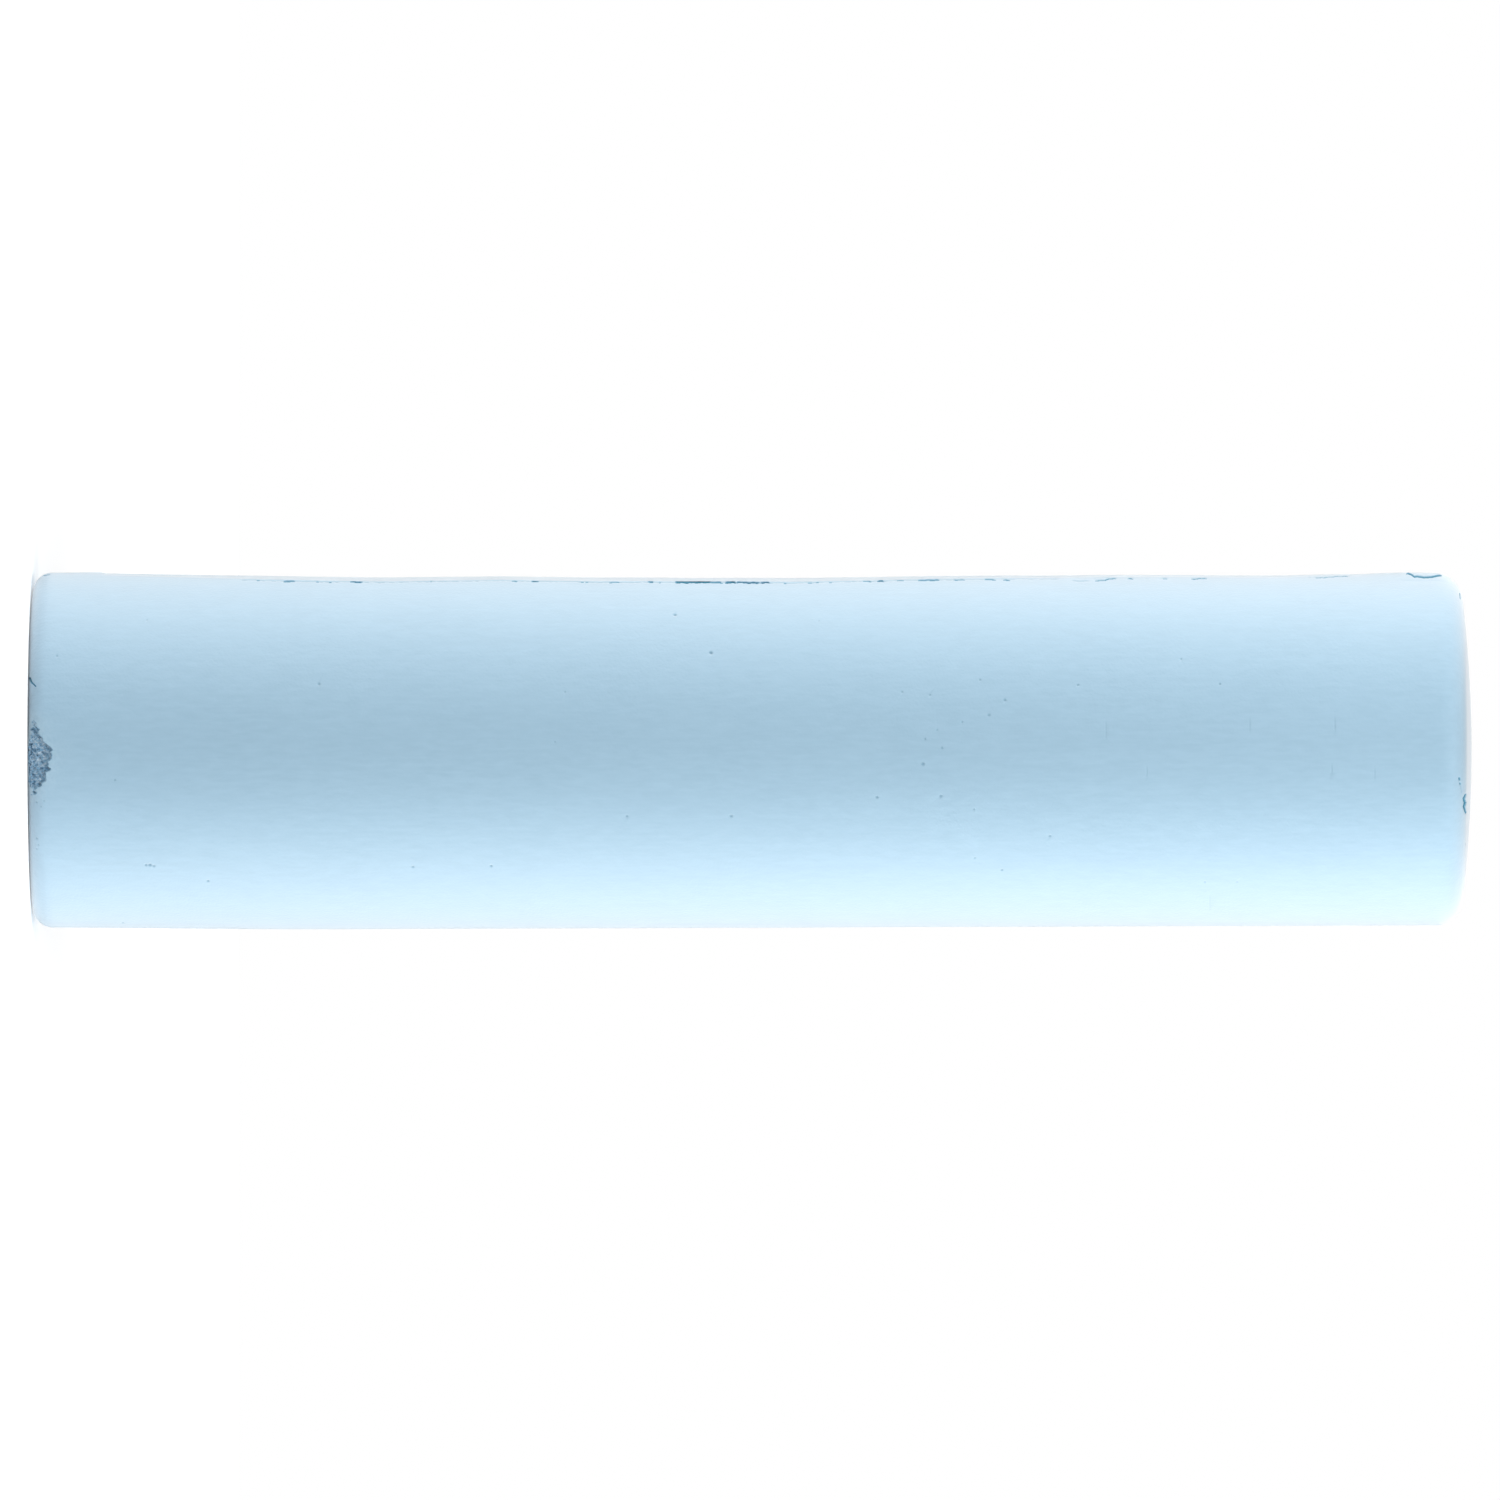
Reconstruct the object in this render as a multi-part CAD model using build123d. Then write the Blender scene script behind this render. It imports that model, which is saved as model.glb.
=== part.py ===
from build123d import *
import os
from math import cos, degrees, radians, sin, sqrt
from typing import NamedTuple

# Jumbo pavement-chalk stick: one moulded plaster solid that stands on its flat foot.
# The stick runs up +Z from the middle of its foot and tapers a little from a belly near the foot to its tip.
# The mould seam was scraped off along the -X side, and the large chip in the foot's rim faces -Y.

# Driving dimensions are in millimetres and degrees. Angles turn about the axis, from -Y towards +X.
# Tilts turn away from level, towards the nearer end of the stick.

# Body
LENGTH = 101.6
FOOT_DIAMETER = 25.1
BELLY_DIAMETER = 25.4
TIP_DIAMETER = 24.8
BELLY_HEIGHT = 18.0
FOOT_EDGE_RADIUS = 1.4
TIP_EDGE_RADIUS = 1.8
TIP_CROWN = 0.85

# Scraped seam: a flat land that faces nearly -X, deeper below the belly than below the tip, with run-outs
LAND_ANGLE = -87.5
LAND_BELLY_DEPTH = 0.62
LAND_TIP_DEPTH = 0.18
LAND_FOOT_GAP = 1.7
LAND_FOOT_RUN_OUT = 18.0
LAND_TIP_GAP = 1.5
LAND_TIP_RUN_OUT = 9.0

# Crevices where the land's front border has crumbled, placed in shares of the land's level stretch
CREVICE_LENGTH = 3.4
CREVICE_WIDTH = 0.8
CREVICE_DEPTH = 0.26
CREVICE_PLACE_SHARES = (0.20, 0.34, 0.38, 0.43, 0.56, 0.62, 0.69, 0.79)
CREVICE_LENGTH_SHARES = (0.55, 0.35, 1.0, 0.8, 0.75, 0.45, 0.75, 1.0)

# Large chip in the foot's rim: overlapping bites, placed in shares of the middle bite's width
FOOT_CHIP_ANGLE = 2.5
FOOT_CHIP_TILT = 42.0
FOOT_CHIP_WIDTH = 4.3
FOOT_CHIP_DEPTH = 0.85
FOOT_CHIP_OFFSET_SHARES = (-0.40, 0.0, 0.38)
FOOT_CHIP_SIZE_SHARES = (0.55, 1.0, 0.68)

# Small nick beside it
FOOT_NICK_ANGLE = -22.0
FOOT_NICK_TILT = 60.0
FOOT_NICK_WIDTH = 0.8
FOOT_NICK_DEPTH = 0.2
FOOT_NICK_OFFSET_SHARES = (-0.3, 0.3)
FOOT_NICK_SIZE_SHARES = (0.8, 1.0)

# Jagged chip in the tip's rim
TIP_CHIP_ANGLE = 16.5
TIP_CHIP_TILT = 62.0
TIP_CHIP_WIDTH = 1.5
TIP_CHIP_DEPTH = 0.32
TIP_CHIP_OFFSET_SHARES = (-0.65, 0.05, 0.6)
TIP_CHIP_SIZE_SHARES = (0.6, 1.0, 0.75)

# How far each cutting tool runs past the surface that it cuts
OVERRUN = 2.0

# Radii and heights that follow from the sizes above
FOOT_RADIUS = FOOT_DIAMETER / 2
BELLY_RADIUS = BELLY_DIAMETER / 2
TIP_RADIUS = TIP_DIAMETER / 2
TIP_RIM_HEIGHT = LENGTH - TIP_CROWN
DOME_RADIUS = (TIP_RADIUS**2 + TIP_CROWN**2) / (2 * TIP_CROWN)


class Rim(NamedTuple):
    """A rounded rim: the circle its rounding turns about, the rounding's radius, and +1 if it faces up."""

    radius: float
    height: float
    edge_radius: float
    facing: int


def foot_rim():
    """The foot's rounding touches the floor and the side."""
    return Rim(FOOT_RADIUS - FOOT_EDGE_RADIUS, FOOT_EDGE_RADIUS, FOOT_EDGE_RADIUS, -1)


def tip_rim():
    """The tip's rounding touches the dome from inside, so its circle lies its own radius below the dome."""
    radius = TIP_RADIUS - TIP_EDGE_RADIUS
    height = LENGTH - DOME_RADIUS + sqrt((DOME_RADIUS - TIP_EDGE_RADIUS) ** 2 - radius**2)
    return Rim(radius, height, TIP_EDGE_RADIUS, 1)


def bar():
    """The turned stick: flat foot, two slight tapers that meet at the belly, domed tip, rounded rims."""
    foot_corner = (FOOT_RADIUS, 0)
    belly = (BELLY_RADIUS, BELLY_HEIGHT)
    tip_corner = (TIP_RADIUS, TIP_RIM_HEIGHT)
    outline = [
        Polyline((0, LENGTH), (0, 0), foot_corner),
        Polyline(foot_corner, belly, tip_corner),
        TangentArc((0, LENGTH), tip_corner, tangent=(1, 0)),
    ]
    profile = make_face(outline)
    for corner, edge_radius in ((foot_corner, FOOT_EDGE_RADIUS), (tip_corner, TIP_EDGE_RADIUS)):
        profile = fillet(profile.vertices().sort_by_distance(corner)[0], edge_radius)
    return revolve(Plane.XZ * profile, Axis.Z)


def level_stretch():
    """The heights between which the land is level, clear of its run-outs and of both rounded rims."""
    start = foot_rim().height + LAND_FOOT_GAP + LAND_FOOT_RUN_OUT
    end = tip_rim().height - LAND_TIP_GAP - LAND_TIP_RUN_OUT
    return start, end


def between_ends(height, at_start, at_end):
    """A value at a height of the land's level stretch, in a straight line from its start to its end."""
    start, end = level_stretch()
    share = (height - start) / (end - start)
    return at_start + share * (at_end - at_start)


def land_distance(height):
    """How far the land lies from the stick's axis at a height."""
    return between_ends(height, BELLY_RADIUS - LAND_BELLY_DEPTH, TIP_RADIUS - LAND_TIP_DEPTH)


def land():
    """What the blade took off. It faces -Y here, and seam_side turns it to its place."""
    start, end = level_stretch()
    outside = -BELLY_RADIUS - OVERRUN
    outline = Polyline(
        (-FOOT_RADIUS, start - LAND_FOOT_RUN_OUT),
        (-land_distance(start), start),
        (-land_distance(end), end),
        (-TIP_RADIUS, end + LAND_TIP_RUN_OUT),
        (outside, end + LAND_TIP_RUN_OUT),
        (outside, start - LAND_FOOT_RUN_OUT),
        close=True,
    )
    return extrude(Plane.YZ * make_face(outline), amount=BELLY_RADIUS, both=True)


def crevices():
    """Lens-shaped pockets along the land's front border, all of one depth below it."""
    start, end = level_stretch()
    pockets = []
    for place_share, length_share in zip(CREVICE_PLACE_SHARES, CREVICE_LENGTH_SHARES):
        height = start + place_share * (end - start)
        distance = land_distance(height)
        border = sqrt(between_ends(height, BELLY_RADIUS, TIP_RADIUS) ** 2 - distance**2)
        floor = Plane(origin=(border, CREVICE_DEPTH - distance, height), x_dir=(0, 0, 1), z_dir=(0, -1, 0))
        lens = Ellipse(length_share * CREVICE_LENGTH / 2, CREVICE_WIDTH / 2)
        pockets.append(extrude(floor * lens, amount=CREVICE_DEPTH + OVERRUN))
    return pockets


def seam_side(tool):
    """Turns a tool that faces -Y round to the seam."""
    return Rot(0, 0, LAND_ANGLE) * tool


def bite(rim, angle, tilt, width, depth):
    """A ball that breaks a rounded rim, as wide as given where it enters and as deep below the rounding.

    The ball's poles lie along the rim and its seam faces away, clear of the break.
    """
    ball_radius = (width**2 / 4 + depth**2) / (2 * depth)
    reach = rim.edge_radius + ball_radius - depth
    away = Vector(0, -cos(radians(tilt)), rim.facing * sin(radians(tilt)))
    centre = Vector(0, -rim.radius, rim.height) + reach * away
    ball = Plane(origin=centre, x_dir=away, z_dir=(1, 0, 0)) * Sphere(ball_radius)
    return Rot(0, 0, angle) * ball


def chip(rim, angle, tilt, width, depth, offset_shares, size_shares):
    """A break made of overlapping bites side by side along a rim."""
    bites = []
    for offset_share, size_share in zip(offset_shares, size_shares):
        turn = degrees(offset_share * width / (rim.radius + rim.edge_radius))
        bites.append(bite(rim, angle + turn, tilt, size_share * width, size_share * depth))
    return bites


def rim_breaks():
    """The foot's chip and nick and the tip's chip."""
    foot_chip = chip(
        foot_rim(), FOOT_CHIP_ANGLE, FOOT_CHIP_TILT, FOOT_CHIP_WIDTH, FOOT_CHIP_DEPTH,
        FOOT_CHIP_OFFSET_SHARES, FOOT_CHIP_SIZE_SHARES,
    )
    foot_nick = chip(
        foot_rim(), FOOT_NICK_ANGLE, FOOT_NICK_TILT, FOOT_NICK_WIDTH, FOOT_NICK_DEPTH,
        FOOT_NICK_OFFSET_SHARES, FOOT_NICK_SIZE_SHARES,
    )
    tip_chip = chip(
        tip_rim(), TIP_CHIP_ANGLE, TIP_CHIP_TILT, TIP_CHIP_WIDTH, TIP_CHIP_DEPTH,
        TIP_CHIP_OFFSET_SHARES, TIP_CHIP_SIZE_SHARES,
    )
    return foot_chip + foot_nick + tip_chip


def chalk_stick():
    """The whole stick, one solid."""
    scraped = bar() - seam_side(land())
    return scraped - [seam_side(pocket) for pocket in crevices()] - rim_breaks()


os.makedirs("parts", exist_ok=True)
export_step(chalk_stick(), "parts/chalk_stick.step")
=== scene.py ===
import math
import random
from typing import NamedTuple

import bmesh
import bpy
import numpy as np
from mathutils import Matrix, Vector, noise


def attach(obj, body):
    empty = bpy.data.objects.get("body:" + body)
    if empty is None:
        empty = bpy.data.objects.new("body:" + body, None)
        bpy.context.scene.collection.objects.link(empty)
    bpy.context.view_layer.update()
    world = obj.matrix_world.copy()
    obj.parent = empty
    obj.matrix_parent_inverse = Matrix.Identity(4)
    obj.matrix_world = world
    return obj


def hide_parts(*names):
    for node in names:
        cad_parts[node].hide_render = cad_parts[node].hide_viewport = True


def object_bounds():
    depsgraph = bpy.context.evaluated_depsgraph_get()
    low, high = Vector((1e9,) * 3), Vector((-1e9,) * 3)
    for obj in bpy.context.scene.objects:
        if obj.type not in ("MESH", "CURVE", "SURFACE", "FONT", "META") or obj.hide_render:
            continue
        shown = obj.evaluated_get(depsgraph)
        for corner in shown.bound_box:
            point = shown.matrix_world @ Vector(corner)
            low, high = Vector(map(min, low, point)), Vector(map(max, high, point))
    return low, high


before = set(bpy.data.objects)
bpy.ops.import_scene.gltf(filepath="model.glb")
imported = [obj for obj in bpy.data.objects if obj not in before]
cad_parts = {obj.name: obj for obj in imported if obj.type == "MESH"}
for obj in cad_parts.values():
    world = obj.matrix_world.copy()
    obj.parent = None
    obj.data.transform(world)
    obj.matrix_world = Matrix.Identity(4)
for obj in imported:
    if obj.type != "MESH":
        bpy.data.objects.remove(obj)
cad_low, cad_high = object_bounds()

# The stick is shaped in millimetres and turned into metres at the end.
# Angles turn about the axis, from -Y, which faces the camera, towards +X, which is down in the photograph.
MM = 0.001
NODE = "chalk_stick"
SEED = 7
random.seed(SEED)

# Body, with its overall sizes from the frame
LENGTH = (cad_high.z - cad_low.z) / MM
BELLY_RADIUS = cad_high.x / MM
FOOT_RADIUS = 12.55
TIP_RADIUS = 12.4
BELLY_HEIGHT = 18.0
FOOT_EDGE = 1.4
TIP_EDGE = 1.8
TIP_CROWN = 0.85
UNDULATION = 0.03
UNDULATION_SIZE = 7.0

# Line through the noise along which ridges are read, in shares of a bump
RIDGE_LINE_SHARES = (0.5, 0.5)

# Scraped seam: the land's distance from the axis at heights read off the photograph's upper outline
LAND_ANGLE = math.radians(-87.5)
LAND_HEIGHTS = (5.0, 12.0, 19.0, 25.0, 33.0, 40.0, 53.5, 63.5, 76.0, 88.5, 93.0, 97.0, 100.0)
LAND_DISTANCES = (12.45, 12.27, 12.14, 12.08, 12.18, 12.08, 12.03, 12.21, 12.30, 12.28, 12.42, 12.55, 12.60)
LAND_WOBBLE = 0.03
LAND_WOBBLE_SIZE = 4.0
NIBBLE_DEPTH = 0.06
NIBBLE_SIZE = 0.8

# What is left of the seam at the tip: a low burr
BURR_HEIGHT = 0.15
BURR_MIDDLE = 97.3
BURR_LENGTH = 7.0
BURR_WIDTH = 6.0


class Crease(NamedTuple):
    """A crumbled stretch of the land's front border.

    It has the line at its foot, by pixel column and row from left to right, how many pixels it reaches above
    that line, and how deep it is and how dark its painted shade is, as a share of the deepest.
    """

    pixels: tuple
    reach_pixels: float
    dark_share: float


CREASES = (
    Crease(((41, 575.5), (52, 575.0)), 1.5, 0.4),
    Crease(((240, 577.0), (1060, 577.0)), 2.0, 0.2),
    Crease(((255, 578.0), (262, 578.2)), 1.5, 0.4),
    Crease(((279, 578.0), (282, 578.0)), 1.5, 0.4),
    Crease(((282, 579.5), (288, 579.0), (297, 578.5)), 2.0, 0.5),
    Crease(((315, 578.0), (320, 578.2)), 1.5, 0.5),
    Crease(((327, 579.5), (333, 580.5)), 2.0, 0.4),
    Crease(((349, 578.5), (355, 580.0), (359, 581.0), (364, 583.0)), 2.0, 0.6),
    Crease(((429, 578.8), (433, 579.0)), 2.0, 0.8),
    Crease(((472, 580.5), (484, 580.5)), 1.5, 0.25),
    Crease(((510, 581.5), (519, 581.7)), 1.5, 0.35),
    Crease(((530, 581.7), (535, 582.0), (541, 582.0)), 1.5, 0.5),
    Crease(((576, 581.5), (592, 582.0)), 1.5, 0.3),
    Crease(((607, 582.2), (622, 582.5)), 1.5, 0.3),
    Crease(((624, 579.0), (629, 579.5)), 1.5, 0.4),
    Crease(((646, 580.5), (650, 581.5), (655, 581.3)), 2.5, 0.6),
    Crease(((658, 579.7), (662, 580.0)), 2.0, 0.85),
    Crease(((664, 582.0), (668, 582.0)), 1.5, 0.3),
    Crease(((674, 580.0), (681, 582.0), (690, 582.5), (712, 583.0)), 4.5, 1.0),
    Crease(((708, 583.0), (723, 583.0)), 3.0, 0.65),
    Crease(((724, 579.5), (727, 581.5), (737, 582.0)), 3.5, 1.0),
    Crease(((735, 582.3), (748, 583.0), (761, 583.0)), 2.0, 0.7),
    Crease(((759, 583.0), (764, 583.2), (771, 582.3)), 2.0, 0.75),
    Crease(((782, 580.8), (785, 581.5), (788, 583.0)), 2.0, 0.5),
    Crease(((805, 580.3), (823, 580.3)), 1.5, 0.3),
    Crease(((827, 578.8), (833, 578.5)), 1.5, 0.4),
    Crease(((849, 581.8), (856, 581.8)), 1.5, 0.3),
    Crease(((861, 582.0), (873, 582.0)), 1.5, 0.4),
    Crease(((876, 580.3), (880, 581.2), (885, 582.5)), 2.5, 0.85),
    Crease(((895, 580.5), (905, 580.8)), 1.5, 0.4),
    Crease(((917, 579.5), (925, 580.2), (941, 580.2)), 2.0, 0.55),
    Crease(((951, 579.2), (966, 579.2)), 1.5, 0.35),
    Crease(((975, 580.0), (979, 580.3)), 1.5, 0.55),
    Crease(((983, 580.2), (997, 580.5)), 2.0, 0.5),
    Crease(((1002, 580.5), (1011, 580.5)), 2.0, 0.5),
    Crease(((1071, 581.5), (1078, 582.0), (1090, 581.5)), 2.0, 0.25),
    Crease(((1094, 579.5), (1097, 580.8), (1105, 580.5), (1111, 579.3), (1118, 579.0)), 2.0, 0.35),
    Crease(((1127, 579.0), (1134, 579.5)), 1.5, 0.55),
    Crease(((1145, 577.0), (1149, 577.0)), 1.5, 0.3),
    Crease(((1159, 579.3), (1169, 579.2)), 1.5, 0.3),
    Crease(((1190, 578.3), (1208, 578.2)), 1.5, 0.35),
    Crease(((1307, 576.0), (1312, 576.3)), 1.5, 0.5),
    Crease(((1312, 577.0), (1330, 577.3), (1350, 576.5)), 1.5, 0.3),
    Crease(((1405, 573.0), (1410, 575.5), (1414, 577.5), (1422, 578.3), (1431, 578.0), (1437, 577.0),
            (1443, 575.5)), 3.0, 0.8),
)
CREASE_DEPTH = 0.5
CREASE_END_PIXELS = 3.0
CREASE_LAND_REACH = 0.3
CREASE_BELOW_PIXELS = 1.9
CREASE_SHARPNESS = 0.9
CREASE_EVENNESS = 0.65
RAGGED_PIXELS = 0.9
RAGGED_SIZE_PIXELS = 3.0
DEEP_CREASE_SHARE = 0.7

# Chip in the foot's rim: its border from top to bottom, by pixel column and row, and its rough floor
FOOT_CHIP_BORDER = (
    (30, 711), (35, 718), (38, 726), (42, 736), (47, 743), (52, 750), (50, 756), (47, 762), (49, 770),
    (45, 778), (40, 787), (36, 795), (30, 802),
)
CHIP_END_DEPTH = 0.32
CHIP_SLOPE_SHARE = 0.45
CHIP_WALL_RUN = 0.12
CHIP_RAGGED_PIXELS = 5.0
CHIP_RAGGED_SIZE_PIXELS = 4.0
CHIP_SHADE_REACH = 0.25
FRACTURE_SIZES = (0.4, 0.17, 0.1)
FRACTURE_HEIGHTS = (0.14, 0.2, 0.12)
FRACTURE_STRETCH_SHARE = 0.6
# Painted shade in the chip: how deep a hollow is when fully shaded, and how dark hollows and the end wall
# get
HOLLOW_DEPTH = 0.2
HOLLOW_SHADE_SHARE = 0.32
WALL_SHADE_SHARE = 0.65
BROKEN_DEPTH = 0.05
POWDER_REACH = 0.7


class Crack(NamedTuple):
    """A crack in a rim: its pixel columns and rows, its width at both ends, its depth and its painted
    shade's darkness.
    """

    pixels: tuple
    first_width: float
    last_width: float
    depth: float
    dark_share: float


CRACKS = (
    Crack(((29.6, 678.5), (31.5, 682.5), (35.8, 686.5)), 0.24, 0.10, 0.10, 0.8),
    Crack(((1459.3, 778.3), (1459.6, 779.6)), 0.18, 0.18, 0.08, 0.9),
    Crack(((1460.0, 783.0), (1460.3, 784.3)), 0.15, 0.15, 0.06, 0.6),
    Crack(((1460.5, 785.5), (1461.3, 792.0)), 0.10, 0.10, 0.03, 0.3),
    Crack(((1465.8, 794.5), (1464.0, 798.5), (1465.4, 803.0)), 0.16, 0.26, 0.12, 1.0),
    Crack(((1465.4, 803.0), (1464.2, 806.5), (1465.8, 812.5)), 0.26, 0.16, 0.12, 1.0),
    Crack(((1460.0, 593.5), (1460.5, 598.5)), 0.12, 0.12, 0.05, 0.6),
    Crack(((1466.0, 843.0), (1466.0, 845.0)), 0.12, 0.12, 0.05, 0.6),
)
CRACK_FACING_SHARE = 0.12

# Pits seen in the photograph, by pixel column and row, with each one's size as a share of the largest
PITS = (
    (57, 656, 0.6), (319, 684, 0.8), (675, 615, 1.0), (711, 653, 1.0), (146, 865, 0.8), (150, 865, 1.0),
    (154, 866, 0.8), (208, 881, 0.8), (413, 867, 0.8), (491, 866, 0.8), (123, 923, 0.8), (627, 816, 0.7),
    (731, 816, 0.8), (902, 692, 0.6), (930, 695, 0.6), (980, 680, 0.6), (1005, 700, 0.8), (989, 715, 0.8),
    (962, 722, 0.6), (937, 730, 0.6), (925, 739, 0.6), (942, 748, 0.7), (923, 764, 0.9), (877, 797, 0.8),
    (941, 796, 0.8), (974, 809, 0.5), (1050, 836, 0.7), (1002, 870, 0.7), (975, 858, 0.6), (1205, 882, 0.6),
    (1237, 882, 0.5), (819, 621, 0.5), (1078, 685, 0.7), (1220, 684, 0.7), (1181, 659, 0.6), (115, 780, 0.6),
    (555, 742, 0.5), (565, 692, 0.5), (147, 620, 0.5), (36, 803, 0.6), (41, 807, 0.5), (44, 801, 0.5),
    (36, 840, 0.6), (38, 846, 0.5), (36, 851, 0.5),
)
PIT_RADIUS = 0.16
PIT_DEPTH = 0.07
HIDDEN_PITS = 70
HIDDEN_PIT_ANGLES = (math.radians(80), math.radians(260))
HIDDEN_PIT_SIZE_SHARES = (0.4, 1.0)

# Hairlines across the stick, by the pixel column and the rows where each starts and ends
HAIRLINES = (
    (1210, 892, 912), (1106, 718, 742), (1147, 764, 780), (1250, 716, 734), (1335, 715, 735),
    (1332, 762, 778), (1375, 766, 782),
)
HAIRLINE_WIDTH = 0.12
HAIRLINE_DEPTH = 0.03
# How much painted shade a hairline gets, as a share of a full pit's
HAIRLINE_SHARE = 0.35

# The photograph's view, with +Z to the image's right and +X down
IMAGE_PIXELS = 1500
FRAME_WIDTH = 106.0
CAMERA_DISTANCE = 1500.0
CAMERA_X = 0.0
CAMERA_Z = 50.66
SENSOR_WIDTH = 36.0
VIEW_DEPTH = 10000.0
PROJECTION_PASSES = 4

# Cells of the mesh, each step half the one before
BASE_CELL = 0.8
FINEST_CELL = 0.05
RIM_CELL = 0.4
LAND_CELL = 0.4
BORDER_CELL = 0.1
BACK_BORDER_CELL = 0.2
BORDER_REACH = 0.4
CREASE_REACH = 1.5
SHORT_EDGE_SHARE = 0.6
SHEET_RADIUS = 12.5
MERGE_DISTANCE = 0.0005

# Patches of the rims with the finest cells, by first and last pixel column and row
FINE_PATCHES = (
    (24, 58, 708, 806), (24, 44, 672, 694), (1452, 1476, 772, 820), (1454, 1466, 588, 604),
    (1462, 1474, 838, 850), (1402, 1450, 568, 582), (38, 56, 568, 580),
)

# Heights and lengths along the profile that follow from the sizes above
PIXEL = FRAME_WIDTH / IMAGE_PIXELS
TIP_RIM_HEIGHT = LENGTH - TIP_CROWN
DOME_RADIUS = (TIP_RADIUS**2 + TIP_CROWN**2) / (2 * TIP_CROWN)
FOOT_FLAT = FOOT_RADIUS - FOOT_EDGE
TIP_RING = TIP_RADIUS - TIP_EDGE
TIP_RING_DROP = math.sqrt((DOME_RADIUS - TIP_EDGE) ** 2 - TIP_RING**2)
TIP_RING_HEIGHT = LENGTH - DOME_RADIUS + TIP_RING_DROP
TIP_SWEEP = math.atan2(TIP_RING_DROP, TIP_RING)
QUARTER = math.pi / 2
SIDE_START = FOOT_FLAT + FOOT_EDGE * QUARTER
SIDE_LENGTH = TIP_RING_HEIGHT - FOOT_EDGE
SIDE_END = SIDE_START + SIDE_LENGTH
DOME_START = SIDE_END + TIP_EDGE * TIP_SWEEP
PROFILE_LENGTH = DOME_START + DOME_RADIUS * (QUARTER - TIP_SWEEP)


def side_radius(height):
    """The side's radius at a height: two slight tapers that meet at the belly."""
    return np.interp(height, (0, BELLY_HEIGHT, TIP_RIM_HEIGHT), (FOOT_RADIUS, BELLY_RADIUS, TIP_RADIUS))


def profile(along):
    """Radius, height and the normal's lean above level, at lengths along the profile from the foot."""
    foot_turn = np.clip((along - FOOT_FLAT) / FOOT_EDGE, 0, QUARTER)
    tip_turn = np.clip((along - SIDE_END) / TIP_EDGE, 0, TIP_SWEEP)
    dome_turn = np.clip((along - DOME_START) / DOME_RADIUS, 0, None)
    side_run = np.clip(along - SIDE_START, 0, SIDE_LENGTH)
    lean = foot_turn - QUARTER + tip_turn + dome_turn
    height = FOOT_EDGE * (1 - np.cos(foot_turn)) + side_run + TIP_EDGE * np.sin(tip_turn)
    radius = side_radius(height) - FOOT_EDGE * (1 - np.sin(foot_turn)) - TIP_EDGE * (1 - np.cos(tip_turn))
    radius = np.where(along < FOOT_FLAT, along, radius)
    on_dome = along > DOME_START
    radius = np.where(on_dome, DOME_RADIUS * np.cos(lean), radius)
    height = np.where(on_dome, LENGTH - DOME_RADIUS * (1 - np.sin(lean)), height)
    return radius, height, lean


def along_side(height):
    """The length along the profile of a height on the side."""
    return SIDE_START + height - FOOT_EDGE


def on_side(pixel_column, pixel_row):
    """The angle and height where a pixel of the photograph meets the stick's side."""
    right = (pixel_column - IMAGE_PIXELS / 2) * PIXEL
    down = (pixel_row - IMAGE_PIXELS / 2) * PIXEL
    angle = 0.0
    for _ in range(PROJECTION_PASSES):
        nearness_share = 1 - SHEET_RADIUS * math.cos(angle) / CAMERA_DISTANCE
        height = CAMERA_Z + right * nearness_share
        sine = (CAMERA_X + down * nearness_share) / side_radius(height)
        angle = math.asin(min(max(sine, -1), 1))
    return angle, height


def seen_at(places):
    """The pixel columns and rows of places in the photograph, and whether they lie on its side."""
    pixels_per_length = CAMERA_DISTANCE / (CAMERA_DISTANCE + places[:, 1]) / PIXEL
    columns = IMAGE_PIXELS / 2 + (places[:, 2] - CAMERA_Z) * pixels_per_length
    rows = IMAGE_PIXELS / 2 + (places[:, 0] - CAMERA_X) * pixels_per_length
    return columns, rows, places[:, 1] < 0


def land_distance(height):
    """How far the scraped land lies from the axis."""
    return np.interp(height, LAND_HEIGHTS, LAND_DISTANCES, left=BELLY_RADIUS, right=BELLY_RADIUS)


def land_half_angle(height):
    """The angle from the land's middle to its borders, nothing where the land has run out."""
    return np.arccos(np.clip(land_distance(height) / side_radius(height), -1, 1))


def burr(angle, height):
    """How far the burr stands out of the side."""
    lengthwise = np.clip(1 - ((height - BURR_MIDDLE) / (BURR_LENGTH / 2)) ** 2, 0, None)
    crosswise = np.clip(1 - ((angle - LAND_ANGLE) * SHEET_RADIUS / (BURR_WIDTH / 2)) ** 2, 0, None)
    return BURR_HEIGHT * lengthwise * crosswise


def land_border(height):
    """How far the land's borders, where it meets the round side, lie from its middle."""
    return np.sqrt(np.clip(side_radius(height) ** 2 - land_distance(height) ** 2, 0, None))


def behind_border(places):
    """How far places lie behind the front border of the land."""
    forward = np.array((math.cos(LAND_ANGLE), math.sin(LAND_ANGLE), 0))
    return land_border(places[:, 2]) - places @ forward


def border_rows(heights):
    """The pixel rows in which the land's front border is seen."""
    level = land_distance(heights)
    border = land_border(heights)
    across = level * math.sin(LAND_ANGLE) + border * math.cos(LAND_ANGLE)
    away = border * math.sin(LAND_ANGLE) - level * math.cos(LAND_ANGLE)
    return seen_at(np.stack((across, away, heights), axis=1))[1]


def in_deep_crease(columns):
    """Whether pixel columns lie in one of the deep creases."""
    found = np.zeros(len(columns), bool)
    for crease in CREASES:
        if crease.dark_share > DEEP_CREASE_SHARE:
            found |= (columns > crease.pixels[0][0]) & (columns < crease.pixels[-1][0])
    return found


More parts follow.
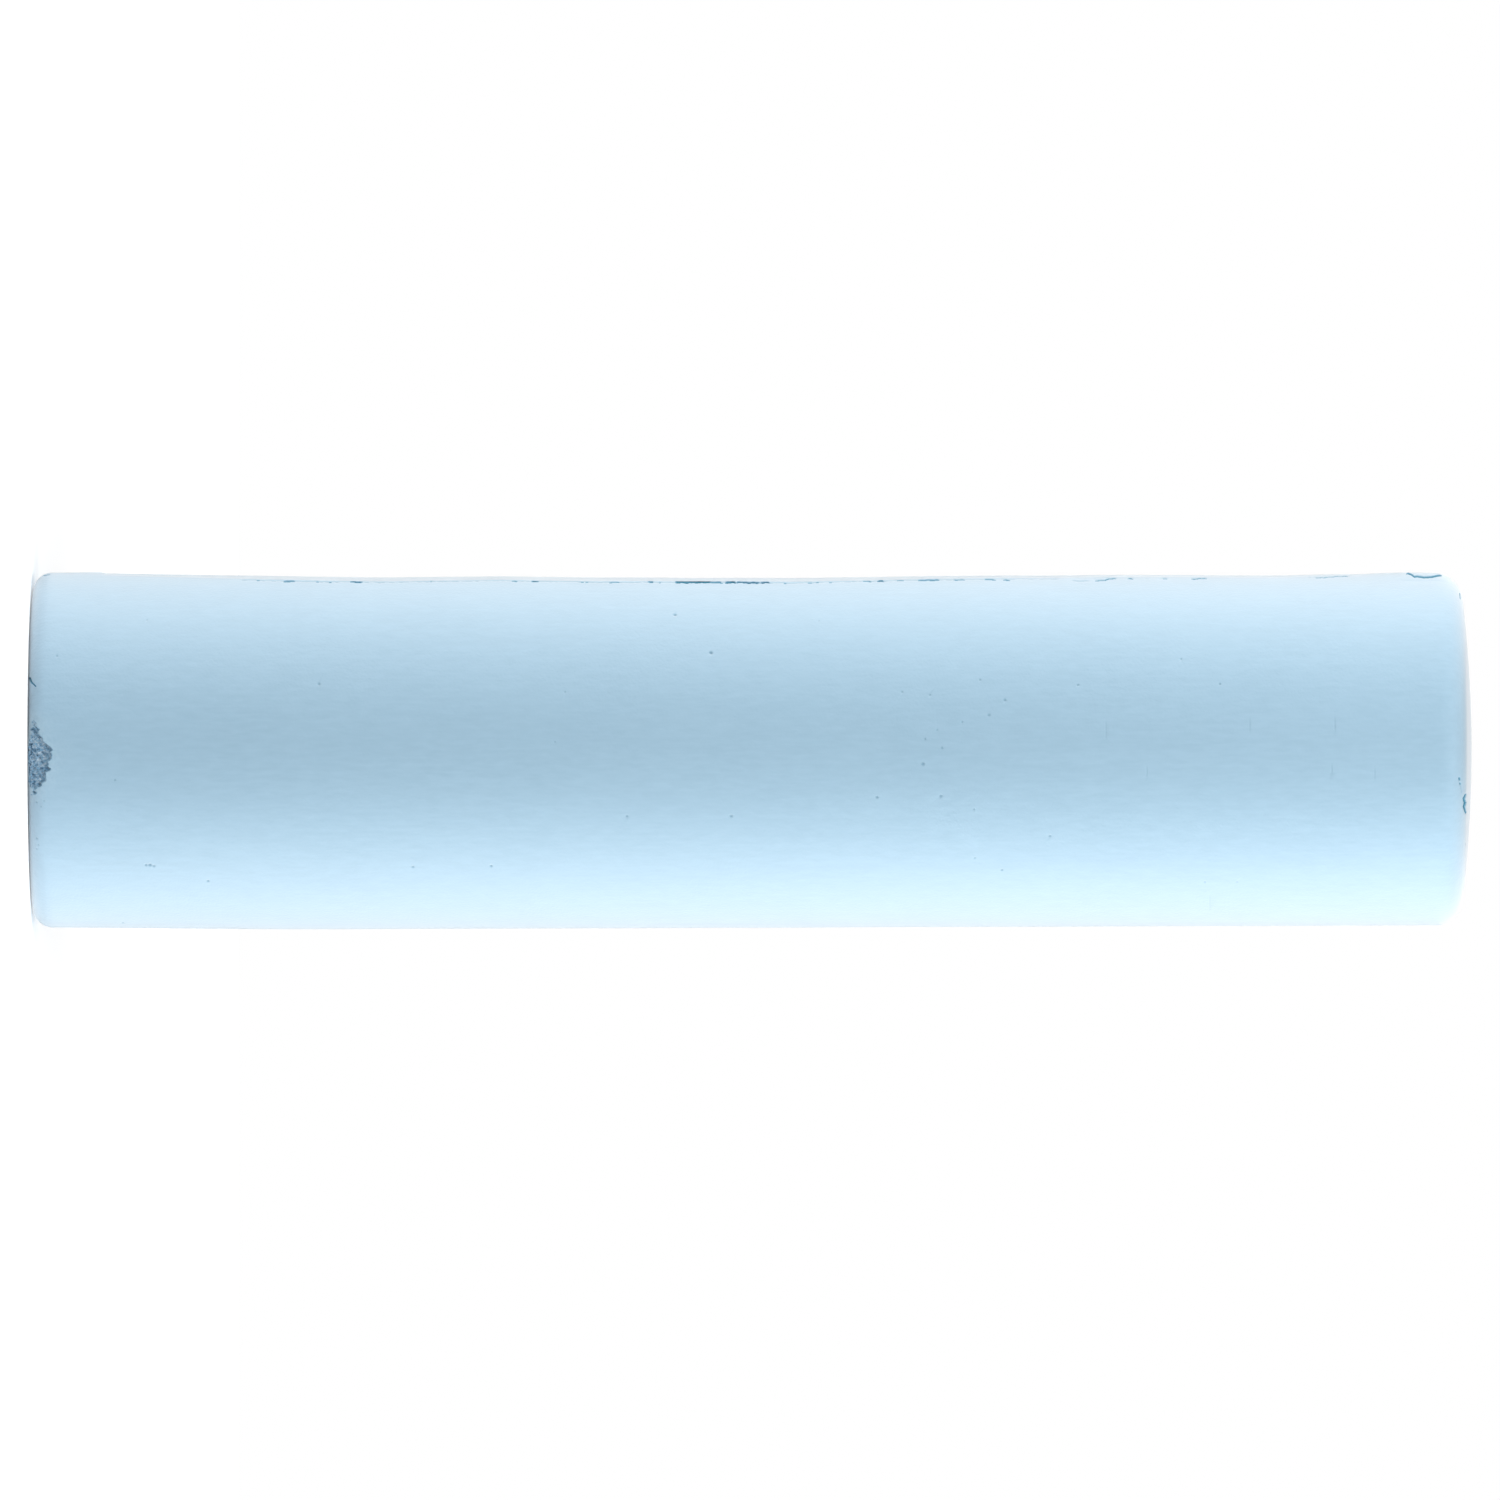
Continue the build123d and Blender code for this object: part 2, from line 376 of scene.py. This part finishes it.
def pits():
    """Angle, height and size of each pit: the seen ones, then those scattered over the rest."""
    found = []
    for pixel_column, pixel_row, size_share in PITS:
        angle, height = on_side(pixel_column, pixel_row)
        found.append((angle, height, size_share))
    for _ in range(HIDDEN_PITS):
        angle = random.uniform(*HIDDEN_PIT_ANGLES)
        height = random.uniform(FOOT_EDGE, TIP_RING_HEIGHT)
        found.append((math.remainder(angle, math.tau), height, random.uniform(*HIDDEN_PIT_SIZE_SHARES)))
    return found


def hairlines():
    """Start angle, end angle and height of each hairline."""
    found = []
    for pixel_column, first_row, last_row in HAIRLINES:
        first_angle, height = on_side(pixel_column, first_row)
        last_angle, _ = on_side(pixel_column, last_row)
        found.append((first_angle, last_angle, height))
    return found


def in_fine_patch(places):
    """Whether places lie in one of the patches of the rims with the finest cells."""
    columns, rows, in_front = seen_at(places)
    fine = np.zeros(len(places), bool)
    for first_column, last_column, first_row, last_row in FINE_PATCHES:
        fine |= (columns > first_column) & (columns < last_column) & (rows > first_row) & (rows < last_row)
    return fine & in_front


def wanted_cell(around, along, margin, pit_places, hairline_places):
    """How small the mesh's cells have to be within a margin of places on the flat sheet."""
    angle = around / SHEET_RADIUS
    radius, height, _ = profile(along)
    on_the_side = (along > SIDE_START) & (along < SIDE_END)
    on_a_rim = ~on_the_side & (along > FOOT_FLAT - margin) & (along < DOME_START + margin)
    cell = np.where(on_a_rim, RIM_CELL, BASE_CELL)
    half_angle = land_half_angle(height)
    from_middle = np.abs(angle - LAND_ANGLE)
    cell = np.where((from_middle < half_angle) & on_the_side, LAND_CELL, cell)
    past_border = (from_middle - half_angle) * SHEET_RADIUS
    has_land = (half_angle > 0) & on_the_side
    near_border = has_land & (np.abs(past_border) < BORDER_REACH + margin)
    cell = np.where(near_border, BACK_BORDER_CELL, cell)
    in_creases = has_land & (past_border > -BORDER_REACH - margin) & (past_border < CREASE_REACH + margin)
    in_creases &= angle > LAND_ANGLE
    places = np.stack((radius * np.sin(angle), -radius * np.cos(angle), height), axis=1)
    deep = in_deep_crease(seen_at(places)[0])
    cell = np.where(in_creases, np.where(deep, FINEST_CELL, BORDER_CELL), cell)
    cell = np.where(in_fine_patch(places) & (on_a_rim | on_the_side), FINEST_CELL, cell)
    for pit_angle, pit_height, size_share in pit_places:
        sideways = (angle - pit_angle) * SHEET_RADIUS
        reach = PIT_RADIUS * size_share + margin
        near = (np.abs(sideways) < reach) & (np.abs(along - along_side(pit_height)) < reach)
        cell = np.where(near, FINEST_CELL, cell)
    for first_angle, last_angle, line_height in hairline_places:
        beside = np.abs(along - along_side(line_height)) < HAIRLINE_WIDTH / 2 + margin
        cell = np.where(beside & (angle > first_angle) & (angle < last_angle), FINEST_CELL, cell)
    return cell


def flat_sheet(pit_places, hairline_places):
    """The stick's skin laid flat: x runs round it and y along its profile, in cells as small as wanted."""
    sheet = bmesh.new()
    width = math.tau * SHEET_RADIUS
    columns = round(width / BASE_CELL)
    rows = round(PROFILE_LENGTH / BASE_CELL)
    bmesh.ops.create_grid(sheet, x_segments=columns, y_segments=rows, size=1)
    for corner in sheet.verts:
        corner.co = (corner.co.x * width / 2, (corner.co.y + 1) * PROFILE_LENGTH / 2, 0)
    cell = BASE_CELL
    while cell > FINEST_CELL:
        middles = np.array([face.calc_center_median() for face in sheet.faces])
        wanted = wanted_cell(middles[:, 0], middles[:, 1], cell / 2, pit_places, hairline_places)
        edges = set()
        for face, wanted_size in zip(sheet.faces, wanted):
            if wanted_size < cell:
                edges.update(edge for edge in face.edges if edge.calc_length() > SHORT_EDGE_SHARE * cell)
        bmesh.ops.subdivide_edges(sheet, edges=list(edges), cuts=1, use_grid_fill=True)
        cell /= 2
    return sheet


def bumps(places, size):
    """Smooth noise at each place, with bumps of about the given size."""
    return np.array([noise.noise(Vector(place) / size) for place in places])


def ridges(distances, size):
    """Smooth noise at distances along one line."""
    return np.array([noise.noise((*RIDGE_LINE_SHARES, distance / size)) for distance in distances])


def scrape(places):
    """Cuts the land, with a nibbled border."""
    heights = places[:, 2]
    out = np.array((math.sin(LAND_ANGLE), -math.cos(LAND_ANGLE), 0))
    level = land_distance(heights) + LAND_WOBBLE * ridges(heights, LAND_WOBBLE_SIZE)
    nibble = NIBBLE_DEPTH * np.clip(ridges(heights, NIBBLE_SIZE), 0, None)
    level = np.where(behind_border(places) < nibble, level - nibble, level)
    cut = np.clip(places @ out - level, 0, None)
    return places - cut[:, None] * out


def crumble(places):
    """Undercuts the land's border along its creases. Returns places and their crease depth, which sets
    painted shade.
    """
    columns, rows, in_front = seen_at(places)
    near = in_front & (behind_border(places) < CREASE_LAND_REACH)
    dark = np.zeros(len(places))
    rows[near] += RAGGED_PIXELS * ridges(columns[near], RAGGED_SIZE_PIXELS)
    lowest_rows = border_rows(places[:, 2]) + CREASE_BELOW_PIXELS
    for crease in CREASES:
        line_columns, line_rows = zip(*crease.pixels)
        above = np.maximum(np.interp(columns, line_columns, line_rows), lowest_rows) - rows
        to_end = np.minimum(columns - line_columns[0], line_columns[-1] - columns)
        taper = np.clip(to_end / CREASE_END_PIXELS, 0, 1)
        ramp = np.where(near & (above > 0), np.clip(1 - above / crease.reach_pixels, 0, 1), 0)
        dark = np.maximum(dark, crease.dark_share**CREASE_EVENNESS * taper * ramp**CREASE_SHARPNESS)
    away_from_camera = np.array((0, 1, 0))
    return places + CREASE_DEPTH * dark[:, None] * away_from_camera, dark


def break_foot(places):
    """Breaks the chip out of the foot's rim. Returns places and how broken, shaded and powdery each is."""
    columns, rows, in_front = seen_at(places)
    chip_columns, chip_rows = zip(*FOOT_CHIP_BORDER)
    border = np.interp(rows, chip_rows, chip_columns, left=0, right=0)
    near = in_front & (border > 0) & (places[:, 2] < BELLY_HEIGHT)
    ragged = np.zeros(len(places))
    ragged[near] = CHIP_RAGGED_PIXELS * ridges(rows[near], CHIP_RAGGED_SIZE_PIXELS)
    inside = np.where(near, (border + ragged - columns) * PIXEL, 0)
    broken_out = inside > 0
    rough = np.zeros(len(places))
    drawn_out = places[broken_out] * (1, 1, FRACTURE_STRETCH_SHARE)
    for size, height in zip(FRACTURE_SIZES, FRACTURE_HEIGHTS):
        rough[broken_out] += height * bumps(drawn_out, size)
    floor_depth = CHIP_END_DEPTH + CHIP_SLOPE_SHARE * inside + rough
    wanted_radius = side_radius(places[:, 2]) - floor_depth * np.clip(inside / CHIP_WALL_RUN, 0, 1)
    radius = np.hypot(places[:, 0], places[:, 1])
    depth = np.where(broken_out, np.clip(radius - wanted_radius, 0, None), 0)
    shrink = 1 - depth / np.clip(radius, FOOT_EDGE, None)
    broken = np.clip(depth / BROKEN_DEPTH, 0, 1)
    # Painted shade: the chip's deeper hollows and the strip along its end wall are darkened in colour
    hollow = HOLLOW_SHADE_SHARE * np.clip(rough / HOLLOW_DEPTH, 0, 1)
    wall = WALL_SHADE_SHARE * np.exp(-np.clip(inside, 0, None) / CHIP_SHADE_REACH)
    shaded = broken * np.maximum(hollow, wall)
    powder = np.where(near, np.exp(np.minimum(inside, 0) / POWDER_REACH), 0)
    return places * np.stack((shrink, shrink, np.ones_like(shrink)), axis=1), broken, shaded, powder


def crack_rims(places, normals):
    """Opens the cracks in the rims. Returns the places and how much painted shade each one gets in a crack.
    """
    columns, rows, in_front = seen_at(places)
    faces_camera = in_front & (-normals[:, 1] > CRACK_FACING_SHARE)
    seen = np.stack((columns, rows), axis=1)
    depth = np.zeros(len(places))
    dark = np.zeros(len(places))
    for crack in CRACKS:
        runs = len(crack.pixels) - 1
        for index in range(runs):
            start, end = crack.pixels[index:index + 2]
            run = np.subtract(end, start)
            share = np.clip((seen - start) @ run / (run @ run), 0, 1)
            away = np.linalg.norm(seen - start - share[:, None] * run, axis=1) * PIXEL
            width = crack.first_width + (crack.last_width - crack.first_width) * (index + share) / runs
            groove = np.where(faces_camera, np.clip(1 - away / (width / 2), 0, 1), 0)
            depth = np.maximum(depth, crack.depth * groove)
            dark = np.maximum(dark, crack.dark_share * groove)
    return places - normals * depth[:, None], dark


def dent(angle, along, pit_places, hairline_places):
    """How deep the pits and hairlines go at each place, and how much painted shade each place gets from
    them.
    """
    depth = np.zeros_like(angle)
    dent_shade = np.zeros_like(angle)
    for pit_angle, pit_height, size_share in pit_places:
        sideways = (angle - pit_angle) * SHEET_RADIUS
        distance = np.hypot(sideways, along - along_side(pit_height)) / (PIT_RADIUS * size_share)
        bowl = np.clip(1 - distance**2, 0, None)
        depth = np.maximum(depth, PIT_DEPTH * size_share * bowl)
        dent_shade = np.maximum(dent_shade, bowl * size_share)
    for first_angle, last_angle, height in hairline_places:
        share = np.clip((angle - first_angle) / (last_angle - first_angle), 0, 1)
        fade = np.sin(math.pi * share)
        groove = np.clip(1 - np.abs(along - along_side(height)) / (HAIRLINE_WIDTH / 2), 0, None)
        depth = np.maximum(depth, HAIRLINE_DEPTH * groove * fade)
        dent_shade = np.maximum(dent_shade, HAIRLINE_SHARE * groove * fade)
    return depth, dent_shade


def shaped_places(flat, pit_places, hairline_places):
    """The stick's shape for places of the flat sheet, with the marks that its materials read."""
    angle = flat[:, 0] / SHEET_RADIUS
    along = flat[:, 1]
    radius, height, lean = profile(along)
    radius = radius + burr(angle, height)
    around = np.stack((np.sin(angle), -np.cos(angle), np.zeros_like(angle)), axis=1)
    up = np.array((0, 0, 1))
    normals = around * np.cos(lean)[:, None] + up * np.sin(lean)[:, None]
    places = around * radius[:, None] + up * height[:, None]
    depth, dent_shade = dent(angle, along, pit_places, hairline_places)
    on_the_side = np.clip(np.cos(lean), 0, 1)
    depth = depth + UNDULATION * on_the_side * (1 + bumps(places, UNDULATION_SIZE)) / 2
    places, cracked = crack_rims(places - normals * depth[:, None], normals)
    places, crevice_shade = crumble(scrape(places))
    places, broken, shaded, powder = break_foot(places)
    # The marks steer the materials: the crease, crack, pit, hairline and chip marks set painted shade,
    # powder is dust
    marks = {
        "broken": broken, "shaded": shaded, "crevice_shade": np.maximum(crevice_shade, cracked), "dent_shade": dent_shade,
        "powder": powder,
    }
    return places, marks


def chalk_piece():
    """The stick as one closed mesh. Its broken faces are flat and take the second material."""
    pit_places = pits()
    hairline_places = hairlines()
    sheet = flat_sheet(pit_places, hairline_places)
    flat = np.array([corner.co for corner in sheet.verts])
    places, marks = shaped_places(flat, pit_places, hairline_places)
    layers = {name: sheet.verts.layers.float.new(name) for name in marks}
    bare = np.maximum(marks["broken"], marks["crevice_shade"])
    for index, corner in enumerate(sheet.verts):
        corner.co = places[index]
        for name, values in marks.items():
            corner[layers[name]] = values[index]
    sheet.verts.index_update()
    for face in sheet.faces:
        is_bare = max(bare[corner.index] for corner in face.verts) > BARE_SHARE
        face.material_index = int(is_bare)
        face.smooth = not is_bare
    bmesh.ops.remove_doubles(sheet, verts=sheet.verts, dist=MERGE_DISTANCE)
    bmesh.ops.scale(sheet, vec=(MM, MM, MM), verts=sheet.verts)
    mesh = bpy.data.meshes.new("chalk")
    sheet.to_mesh(mesh)
    sheet.free()
    piece = bpy.data.objects.new("chalk", mesh)
    bpy.context.scene.collection.objects.link(piece)
    return piece


# Places of the mix node's colour sockets
MIX_FIRST_COLOUR = 6
MIX_SECOND_COLOUR = 7
MIX_COLOUR_OUTPUT = 2


class Graph:
    """A node tree with short calls to add nodes and join them."""

    def __init__(self, tree):
        self.tree = tree
        tree.nodes.clear()

    def put(self, socket, value):
        """Sets a socket to a number or colour, or links another node's output to it."""
        if isinstance(value, bpy.types.NodeSocket):
            self.tree.links.new(value, socket)
        else:
            socket.default_value = value

    def add(self, kind, inputs=None, **settings):
        """Adds a node. Inputs are numbers, colours or other nodes' outputs, by socket name or place."""
        node = self.tree.nodes.new(kind)
        for name, value in settings.items():
            setattr(node, name, value)
        for name, value in (inputs or {}).items():
            self.put(node.inputs[name], value)
        return node

    def mark(self, name):
        """A value kept at the mesh's points."""
        return self.add("ShaderNodeAttribute", attribute_name=name).outputs["Fac"]

    def noise(self, places, size, stretch_share=1.0):
        """Noise as a share from 0 to 1, in bumps of a size in millimetres, drawn out along Z."""
        drawn = self.add("ShaderNodeMapping", {"Vector": places, "Scale": (1, 1, stretch_share)})
        inputs = {"Vector": drawn.outputs["Vector"], "Scale": 1 / (size * MM), "Detail": NOISE_DETAIL}
        value = self.add("ShaderNodeTexNoise", inputs).outputs["Fac"]
        limits = {"Value": value, "From Min": NOISE_LOW, "From Max": NOISE_HIGH}
        return self.add("ShaderNodeMapRange", limits).outputs["Result"]

    def blend(self, share, first, second):
        """Two colours blended by a share."""
        node = self.add("ShaderNodeMix", data_type="RGBA")
        self.put(node.inputs["Factor"], share)
        self.put(node.inputs[MIX_FIRST_COLOUR], first)
        self.put(node.inputs[MIX_SECOND_COLOUR], second)
        return node.outputs[MIX_COLOUR_OUTPUT]

    def times(self, first, second):
        """Two values multiplied."""
        return self.add("ShaderNodeMath", {0: first, 1: second}, operation="MULTIPLY").outputs[0]

    def plus(self, first, second):
        """Two values added, up to 1."""
        return self.add("ShaderNodeMath", {0: first, 1: second}, operation="ADD", use_clamp=True).outputs[0]


# Colours, in linear light
WHITE = (1, 1, 1, 1)
CHALK_DEEP = (0.267, 0.447, 0.582, 1)
CHALK_PALE = (0.298, 0.485, 0.624, 1)
STREAK_DEEP = (0.256, 0.430, 0.565, 1)
POWDER_PALE = (0.42, 0.60, 0.71, 1)
# Painted shade: pits and hairlines are darkened towards this blue
PIT_SHADE_BLUE = (0.11, 0.26, 0.38, 1)
# Painted shade: creases and cracks are darkened towards this teal
CREVICE_SHADE_TEAL = (0.01, 0.18, 0.28, 1)
FRACTURE_PALE = (0.75, 0.86, 0.94, 1)
FRACTURE_BLUE = (0.27, 0.48, 0.66, 1)
# Dark specks of the broken chalk, also used for the painted shade in the chip
FRACTURE_SPECK_AND_SHADE = (0.075, 0.14, 0.20, 1)

# Finish of the chalk, with the sizes of its patterns in millimetres
SHEEN_WEIGHT = 1.0
SHEEN_ROUGHNESS = 0.6
SPECULAR_LEVEL = 0.7
BARE_SPECULAR_LEVEL = 0.1
ROUGHNESS = 0.7
NOISE_DETAIL = 2.0
NOISE_LOW = 0.3
NOISE_HIGH = 0.7
MOTTLE_SIZE = 6.0
MOTTLE_SHARE = 0.3
STREAK_SIZE = 0.3
STREAK_STRETCH_SHARE = 0.22
LONG_STREAK_SIZE = 0.4
LONG_STREAK_STRETCH_SHARE = 0.03
LONG_STREAK_SHARE = 0.3
GRAIN_SIZE = 0.2
GRAIN_BUMP_SHARE = 0.25
GRAIN_HEIGHT = 0.03
POWDER_SHARE = 0.5
SPECKLE_SIZE = 0.2
SPECKLE_STRETCH_SHARE = 0.6
DARK_SPECKLE_SIZE = 0.16
DARK_SPECKLE_SHARE = 0.2
BARE_SHARE = 0.4


def chalk_graph(material):
    """Starts a chalk material. Returns its graph, its places, the dusty colour and the grain's bump."""
    material.use_nodes = True
    graph = Graph(material.node_tree)
    places = graph.add("ShaderNodeTexCoord").outputs["Object"]
    streaks = graph.noise(places, STREAK_SIZE, STREAK_STRETCH_SHARE)
    long_streaks = graph.noise(places, LONG_STREAK_SIZE, LONG_STREAK_STRETCH_SHARE)
    mottle = graph.noise(places, MOTTLE_SIZE)
    colour = graph.blend(streaks, CHALK_DEEP, CHALK_PALE)
    colour = graph.blend(graph.times(long_streaks, LONG_STREAK_SHARE), colour, STREAK_DEEP)
    colour = graph.blend(graph.times(mottle, MOTTLE_SHARE), colour, CHALK_PALE)
    grain = graph.noise(places, GRAIN_SIZE)
    bump = graph.add("ShaderNodeBump", {
        "Height": grain, "Strength": GRAIN_BUMP_SHARE, "Distance": GRAIN_HEIGHT * MM,
    })
    return graph, places, colour, bump.outputs["Normal"]


def chalk_material():
    """Matte light-blue chalk with a dusty sheen, fine lengthwise streaks and grain."""
    material = bpy.data.materials.new("chalk")
    graph, places, colour, normal = chalk_graph(material)
    dust = graph.times(graph.mark("powder"), graph.noise(places, SPECKLE_SIZE))
    colour = graph.blend(graph.times(dust, POWDER_SHARE), colour, POWDER_PALE)
    # Painted shade in the pits and hairlines
    colour = graph.blend(graph.mark("dent_shade"), colour, PIT_SHADE_BLUE)
    # Painted shade in the creases and cracks
    colour = graph.blend(graph.mark("crevice_shade"), colour, CREVICE_SHADE_TEAL)
    shader = graph.add("ShaderNodeBsdfPrincipled", {
        "Base Color": colour,
        "Roughness": ROUGHNESS,
        "Specular IOR Level": SPECULAR_LEVEL,
        "Normal": normal,
        "Sheen Weight": SHEEN_WEIGHT,
        "Sheen Roughness": SHEEN_ROUGHNESS,
        "Sheen Tint": WHITE,
    })
    graph.add("ShaderNodeOutputMaterial", {"Surface": shader.outputs["BSDF"]})
    return material


def bare_chalk_material():
    """Chalk inside the breaks and crevices: bare of dust, speckled where broken, with painted shade in the
    chip and crevices.
    """
    material = bpy.data.materials.new("bare_chalk")
    graph, places, colour, normal = chalk_graph(material)
    flecks = graph.noise(places, SPECKLE_SIZE, SPECKLE_STRETCH_SHARE)
    fracture = graph.blend(graph.times(flecks, flecks), FRACTURE_BLUE, FRACTURE_PALE)
    specks = graph.times(graph.noise(places, DARK_SPECKLE_SIZE), DARK_SPECKLE_SHARE)
    # Random dark specks, plus painted shade in the chip's hollows and along its end wall
    fracture = graph.blend(graph.plus(specks, graph.mark("shaded")), fracture, FRACTURE_SPECK_AND_SHADE)
    colour = graph.blend(graph.mark("broken"), colour, fracture)
    # Painted shade in the creases and cracks
    colour = graph.blend(graph.mark("crevice_shade"), colour, CREVICE_SHADE_TEAL)
    shader = graph.add("ShaderNodeBsdfPrincipled", {
        "Base Color": colour,
        "Roughness": ROUGHNESS,
        "Specular IOR Level": BARE_SPECULAR_LEVEL,
        "Normal": normal,
    })
    graph.add("ShaderNodeOutputMaterial", {"Surface": shader.outputs["BSDF"]})
    return material


class Softbox(NamedTuple):
    """A square lamp facing the stick's middle: the way to it, its distance and side in metres, its watts."""

    way: tuple
    distance: float
    side: float
    power: float


# Stage: a pale floor, soft light from all round, and softboxes at both sides, before the stick and over it
FLOOR_SIZE = 1.2
FLOOR_DROP = 0.00002
FLOOR_COLOUR = (0.9, 0.9, 0.9, 1)
FLOOR_NEAR_GLOW = 0.3
FLOOR_FAR_GLOW = 0.65
FLOOR_FADE = 0.3
WORLD_LIGHT = 0.3
BACKDROP_LIGHT = 1.0
SOFTBOXES = {
    "softbox_down": Softbox((1, 0.1, 0), 0.7, 0.3, 6.3),
    "softbox_up": Softbox((-1, 0.18, 0), 0.7, 0.3, 4.8),
    "softbox_tip": Softbox((0, -0.7, 0.7), 0.35, 0.2, 0.85),
    "softbox_over": Softbox((0, 0, 1), 0.7, 0.5, 0.2),
}


def seen_rays(graph):
    """1 for the rays in which the background shows, and 0 for those that light the object."""
    rays = graph.add("ShaderNodeLightPath").outputs
    direct = graph.plus(rays["Is Camera Ray"], rays["Is Glossy Ray"])
    return graph.plus(direct, rays["Is Transmission Ray"])


def add_floor():
    """A wide pale floor that keeps the stick's shadow and fades to white away from the foot."""
    mesh = bpy.data.meshes.new("floor")
    half = FLOOR_SIZE / 2
    corners = [(x, y, -FLOOR_DROP) for x, y in ((-half, -half), (half, -half), (half, half), (-half, half))]
    mesh.from_pydata(corners, [], [(0, 1, 2, 3)])
    floor = bpy.data.objects.new("floor", mesh)
    bpy.context.scene.collection.objects.link(floor)
    material = bpy.data.materials.new("floor")
    material.use_nodes = True
    graph = Graph(material.node_tree)
    matte = graph.add("ShaderNodeBsdfDiffuse", {"Color": FLOOR_COLOUR})
    places = graph.add("ShaderNodeTexCoord").outputs["Object"]
    distance = graph.add("ShaderNodeVectorMath", {0: places}, operation="LENGTH").outputs["Value"]
    fade = graph.add("ShaderNodeMapRange", {
        "Value": distance, "From Max": FLOOR_FADE, "To Min": FLOOR_NEAR_GLOW, "To Max": FLOOR_FAR_GLOW,
    })
    strength = graph.times(seen_rays(graph), fade.outputs["Result"])
    glow = graph.add("ShaderNodeEmission", {"Strength": strength})
    both = graph.add("ShaderNodeAddShader", {0: matte.outputs[0], 1: glow.outputs[0]})
    graph.add("ShaderNodeOutputMaterial", {"Surface": both.outputs[0]})
    mesh.materials.append(material)


def add_world():
    """Soft white light from all round, and a plain white background."""
    world = bpy.data.worlds.new("studio")
    world.use_nodes = True
    bpy.context.scene.world = world
    graph = Graph(world.node_tree)
    light = graph.add("ShaderNodeBackground", {"Color": WHITE, "Strength": WORLD_LIGHT})
    backdrop = graph.add("ShaderNodeBackground", {"Color": WHITE, "Strength": BACKDROP_LIGHT})
    both = graph.add("ShaderNodeMixShader", {
        0: seen_rays(graph), 1: light.outputs[0], 2: backdrop.outputs[0],
    })
    graph.add("ShaderNodeOutputWorld", {"Surface": both.outputs[0]})


def add_softbox(name, box):
    """Hangs one softbox."""
    lamp = bpy.data.lights.new(name, "AREA")
    lamp.size = box.side
    lamp.energy = box.power
    holder = bpy.data.objects.new(name, lamp)
    middle = Vector((0, 0, LENGTH / 2 * MM))
    way = Vector(box.way).normalized()
    holder.location = middle + way * box.distance
    holder.rotation_euler = way.to_track_quat("Z", "Y").to_euler()
    bpy.context.scene.collection.objects.link(holder)


def add_camera():
    """The photograph's camera, rolled so that the stick lies across the image."""
    lens = bpy.data.cameras.new("camera")
    lens.sensor_width = SENSOR_WIDTH
    lens.lens = SENSOR_WIDTH * CAMERA_DISTANCE / FRAME_WIDTH
    lens.clip_end = VIEW_DEPTH * MM
    camera = bpy.data.objects.new("camera", lens)
    turn = Matrix(((0, -1, 0), (0, 0, -1), (1, 0, 0)))
    place = Vector((CAMERA_X, -CAMERA_DISTANCE, CAMERA_Z)) * MM
    camera.matrix_world = Matrix.Translation(place) @ turn.to_4x4()
    bpy.context.scene.collection.objects.link(camera)
    bpy.context.scene.camera = camera


bpy.context.scene.view_settings.view_transform = "Standard"
chalk = chalk_piece()
chalk.data.materials.append(chalk_material())
chalk.data.materials.append(bare_chalk_material())
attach(chalk, "root")
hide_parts(NODE)
add_floor()
add_world()
for softbox_name, softbox in SOFTBOXES.items():
    add_softbox(softbox_name, softbox)
add_camera()
